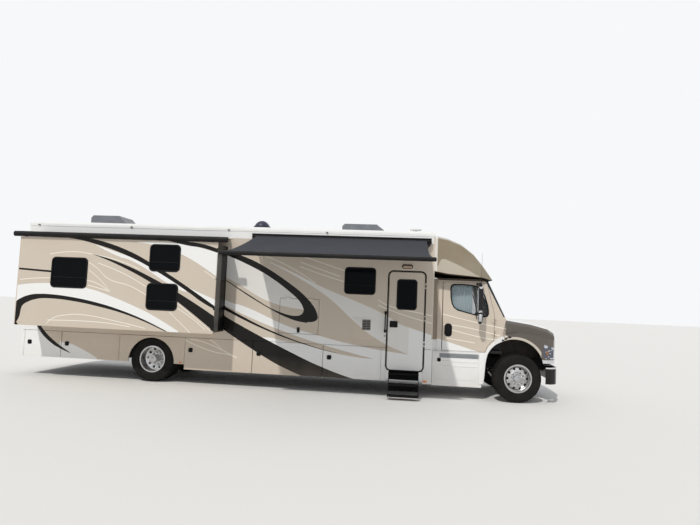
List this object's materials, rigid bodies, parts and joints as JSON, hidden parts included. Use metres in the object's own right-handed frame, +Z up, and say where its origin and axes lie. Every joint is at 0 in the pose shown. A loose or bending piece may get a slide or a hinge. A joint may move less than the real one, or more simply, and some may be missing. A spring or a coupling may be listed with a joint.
{
  "type": "motorhome",
  "caption": "Motorhome on a bonneted truck chassis: long house body with slide-out room, awning, entry steps, baggage doors, tilting hood and steered wheels.",
  "frame": {"origin": "on the ground, at the middle of the whole plan box, awning and mirrors included", "axes": "+X forward, +Y to the driver's side, +Z up"},
  "size_m": [12.19, 4.9579, 3.905],
  "materials": {
    "frame_rails": "gloss",
    "hitch_receiver": "gloss",
    "axles": "gloss",
    "leaf_springs": "gloss",
    "powertrain": "gloss",
    "underfloor_tanks": "gloss",
    "cab_shell": "gloss",
    "windshield": "gloss",
    "cab_interior": "gloss",
    "front_bumper": "gloss",
    "cab_steps": "gloss",
    "house_floor": "gloss",
    "wall_right": "gloss",
    "wall_left": "gloss",
    "wall_front": "gloss",
    "wall_rear": "gloss",
    "roof": "gloss",
    "house_windows": "gloss",
    "cab_cap": "gloss",
    "lower_body_right": "gloss",
    "lower_body_left": "gloss",
    "awning_frame": "gloss",
    "awning_fabric": "matt",
    "topper_fabric": "matt",
    "entry_step": "gloss",
    "roof_equipment": "gloss",
    "lamps": "gloss",
    "hood": "gloss",
    "headlamps": "gloss",
    "grille": "gloss",
    "steering_wheel": "gloss",
    "cab_door_right": "gloss",
    "cab_glass_right": "gloss",
    "cab_door_left": "gloss",
    "cab_glass_left": "gloss",
    "entry_door": "gloss",
    "entry_door_glass": "gloss",
    "compartment_door": "gloss",
    "slide_room": "gloss",
    "slide_glass": "gloss",
    "topper_roller": "gloss",
    "knuckle_right": "gloss",
    "knuckle_left": "gloss",
    "tie_rod": "gloss",
    "front_tyre_right": "gloss",
    "front_rim_right": "gloss",
    "front_tyre_left": "gloss",
    "front_rim_left": "gloss",
    "rear_tyres_right": "gloss",
    "rear_rims_right": "gloss",
    "rear_tyres_left": "gloss",
    "rear_rims_left": "gloss",
    "baggage_door_right_1": "gloss",
    "baggage_door_right_2": "gloss",
    "baggage_door_right_3": "gloss",
    "baggage_door_right_4": "gloss",
    "baggage_door_right_5": "gloss",
    "baggage_door_left_1": "gloss",
    "baggage_door_left_2": "gloss"
  },
  "bodies": {
    "chassis": {"frame_rails": "frame_rails", "hitch_receiver": "hitch_receiver", "axles": "axles", "leaf_springs": "leaf_springs", "powertrain": "powertrain", "underfloor_tanks": "underfloor_tanks", "cab_shell": "cab_shell", "windshield": "windshield", "cab_interior": "cab_interior", "front_bumper": "front_bumper", "cab_steps": "cab_steps", "house_floor": "house_floor", "wall_right": "wall_right", "wall_left": "wall_left", "wall_front": "wall_front", "wall_rear": "wall_rear", "roof": "roof", "house_windows": "house_windows", "cab_cap": "cab_cap", "lower_body_right": "lower_body_right", "lower_body_left": "lower_body_left", "awning_frame": "awning_frame", "awning_fabric": "awning_fabric", "topper_fabric": "topper_fabric", "entry_step": "entry_step", "roof_equipment": "roof_equipment", "lamps": "lamps"},
    "hood": {"hood": "hood", "headlamps": "headlamps", "grille": "grille"},
    "steering_wheel": {"steering_wheel": "steering_wheel"},
    "cab_door_right": {"cab_door_right": "cab_door_right", "cab_glass_right": "cab_glass_right"},
    "cab_door_left": {"cab_door_left": "cab_door_left", "cab_glass_left": "cab_glass_left"},
    "entry_door": {"entry_door": "entry_door", "entry_door_glass": "entry_door_glass"},
    "compartment_door": {"compartment_door": "compartment_door"},
    "slide_room": {"slide_room": "slide_room", "slide_glass": "slide_glass", "topper_roller": "topper_roller"},
    "knuckle_right": {"knuckle_right": "knuckle_right"},
    "knuckle_left": {"knuckle_left": "knuckle_left"},
    "tie_rod": {"tie_rod": "tie_rod"},
    "front_wheel_right": {"front_tyre_right": "front_tyre_right", "front_rim_right": "front_rim_right"},
    "front_wheel_left": {"front_tyre_left": "front_tyre_left", "front_rim_left": "front_rim_left"},
    "rear_wheels_right": {"rear_tyres_right": "rear_tyres_right", "rear_rims_right": "rear_rims_right"},
    "rear_wheels_left": {"rear_tyres_left": "rear_tyres_left", "rear_rims_left": "rear_rims_left"},
    "baggage_door_right_1": {"baggage_door_right_1": "baggage_door_right_1"},
    "baggage_door_right_2": {"baggage_door_right_2": "baggage_door_right_2"},
    "baggage_door_right_3": {"baggage_door_right_3": "baggage_door_right_3"},
    "baggage_door_right_4": {"baggage_door_right_4": "baggage_door_right_4"},
    "baggage_door_right_5": {"baggage_door_right_5": "baggage_door_right_5"},
    "baggage_door_left_1": {"baggage_door_left_1": "baggage_door_left_1"},
    "baggage_door_left_2": {"baggage_door_left_2": "baggage_door_left_2"}
  },
  "joints": [
    {"name": "steer_right", "type": "hinge", "parent": "chassis", "child": "knuckle_right", "pos_m": [5.19, 0.159, 0.495], "axis": [0, 0, 1], "range_deg": [-42, 28]},
    {"name": "steer_left", "type": "hinge", "parent": "chassis", "child": "knuckle_left", "pos_m": [5.19, 1.919, 0.495], "axis": [0, 0, 1], "range_deg": [-42, 28]},
    {"name": "tie_rod_swing", "type": "hinge", "parent": "knuckle_right", "child": "tie_rod", "pos_m": [4.97164, 0.13219, 0.428], "axis": [0, 0, 1], "range_deg": [-28, 42]},
    {"name": "steering_wheel_turn", "type": "hinge", "parent": "chassis", "child": "steering_wheel", "pos_m": [4.455, 1.489, 1.69], "axis": [-0.8155, 0, 0.5787], "range_deg": [-672, 448]},
    {"name": "front_wheel_right_spin", "type": "hinge", "parent": "knuckle_right", "child": "front_wheel_right", "pos_m": [5.21194, -0.01966, 0.51], "axis": [-0.1219, 0.9925, 0], "continuous": true},
    {"name": "front_wheel_left_spin", "type": "hinge", "parent": "knuckle_left", "child": "front_wheel_left", "pos_m": [5.16806, 2.09766, 0.51], "axis": [-0.1219, 0.9925, 0], "continuous": true},
    {"name": "rear_wheels_right_spin", "type": "hinge", "parent": "chassis", "child": "rear_wheels_right", "pos_m": [-2.895, 0.124, 0.51], "axis": [0, 1, 0], "continuous": true},
    {"name": "rear_wheels_left_spin", "type": "hinge", "parent": "chassis", "child": "rear_wheels_left", "pos_m": [-2.895, 1.954, 0.51], "axis": [0, 1, 0], "continuous": true},
    {"name": "hood_tilt", "type": "hinge", "parent": "chassis", "child": "hood", "pos_m": [6.025, 1.039, 0.815], "axis": [0, 1, 0], "range_deg": [0, 60]},
    {"name": "cab_door_right_swing", "type": "hinge", "parent": "chassis", "child": "cab_door_right", "pos_m": [4.735, -0.025, 1.54], "axis": [0, 0, 1], "range_deg": [0, 70]},
    {"name": "cab_door_left_swing", "type": "hinge", "parent": "chassis", "child": "cab_door_left", "pos_m": [4.735, 2.103, 1.54], "axis": [0, 0, -1], "range_deg": [0, 70]},
    {"name": "entry_door_swing", "type": "hinge", "parent": "chassis", "child": "entry_door", "pos_m": [3.198, -0.249, 1.6], "axis": [0, 0, 1], "range_deg": [0, 100]},
    {"name": "compartment_door_lift", "type": "hinge", "parent": "chassis", "child": "compartment_door", "pos_m": [0.46, -0.249, 2.02], "axis": [-1, 0, 0], "range_deg": [0, 85]},
    {"name": "slide_room_travel", "type": "slide", "parent": "chassis", "child": "slide_room", "axis": [0, 1, 0], "range_m": [0, 0.65], "deforming": ["topper_fabric"]},
    {"name": "baggage_door_right_1_swing", "type": "hinge", "parent": "chassis", "child": "baggage_door_right_1", "pos_m": [-5.083, -0.249, 0.738], "axis": [0, 0, 1], "range_deg": [0, 90]},
    {"name": "baggage_door_right_2_swing", "type": "hinge", "parent": "chassis", "child": "baggage_door_right_2", "pos_m": [-3.668, -0.249, 0.738], "axis": [0, 0, 1], "range_deg": [0, 90]},
    {"name": "baggage_door_right_3_swing", "type": "hinge", "parent": "chassis", "child": "baggage_door_right_3", "pos_m": [-0.554, -0.249, 0.683], "axis": [0, 0, 1], "range_deg": [0, 90]},
    {"name": "baggage_door_right_4_swing", "type": "hinge", "parent": "chassis", "child": "baggage_door_right_4", "pos_m": [1.025, -0.249, 0.683], "axis": [0, 0, 1], "range_deg": [0, 90]},
    {"name": "baggage_door_right_5_swing", "type": "hinge", "parent": "chassis", "child": "baggage_door_right_5", "pos_m": [2.302, -0.249, 0.683], "axis": [0, 0, 1], "range_deg": [0, 90]},
    {"name": "baggage_door_left_1_swing", "type": "hinge", "parent": "chassis", "child": "baggage_door_left_1", "pos_m": [-3.668, 2.327, 0.738], "axis": [0, 0, -1], "range_deg": [0, 90]},
    {"name": "baggage_door_left_2_swing", "type": "hinge", "parent": "chassis", "child": "baggage_door_left_2", "pos_m": [2.302, 2.327, 0.683], "axis": [0, 0, -1], "range_deg": [0, 90]}
  ],
  "couplings": [
    {"joint": "steer_left", "follows": "steer_right", "ratio": 1},
    {"joint": "tie_rod_swing", "follows": "steer_right", "ratio": -1},
    {"joint": "steering_wheel_turn", "follows": "steer_right", "ratio": 16}
  ]
}
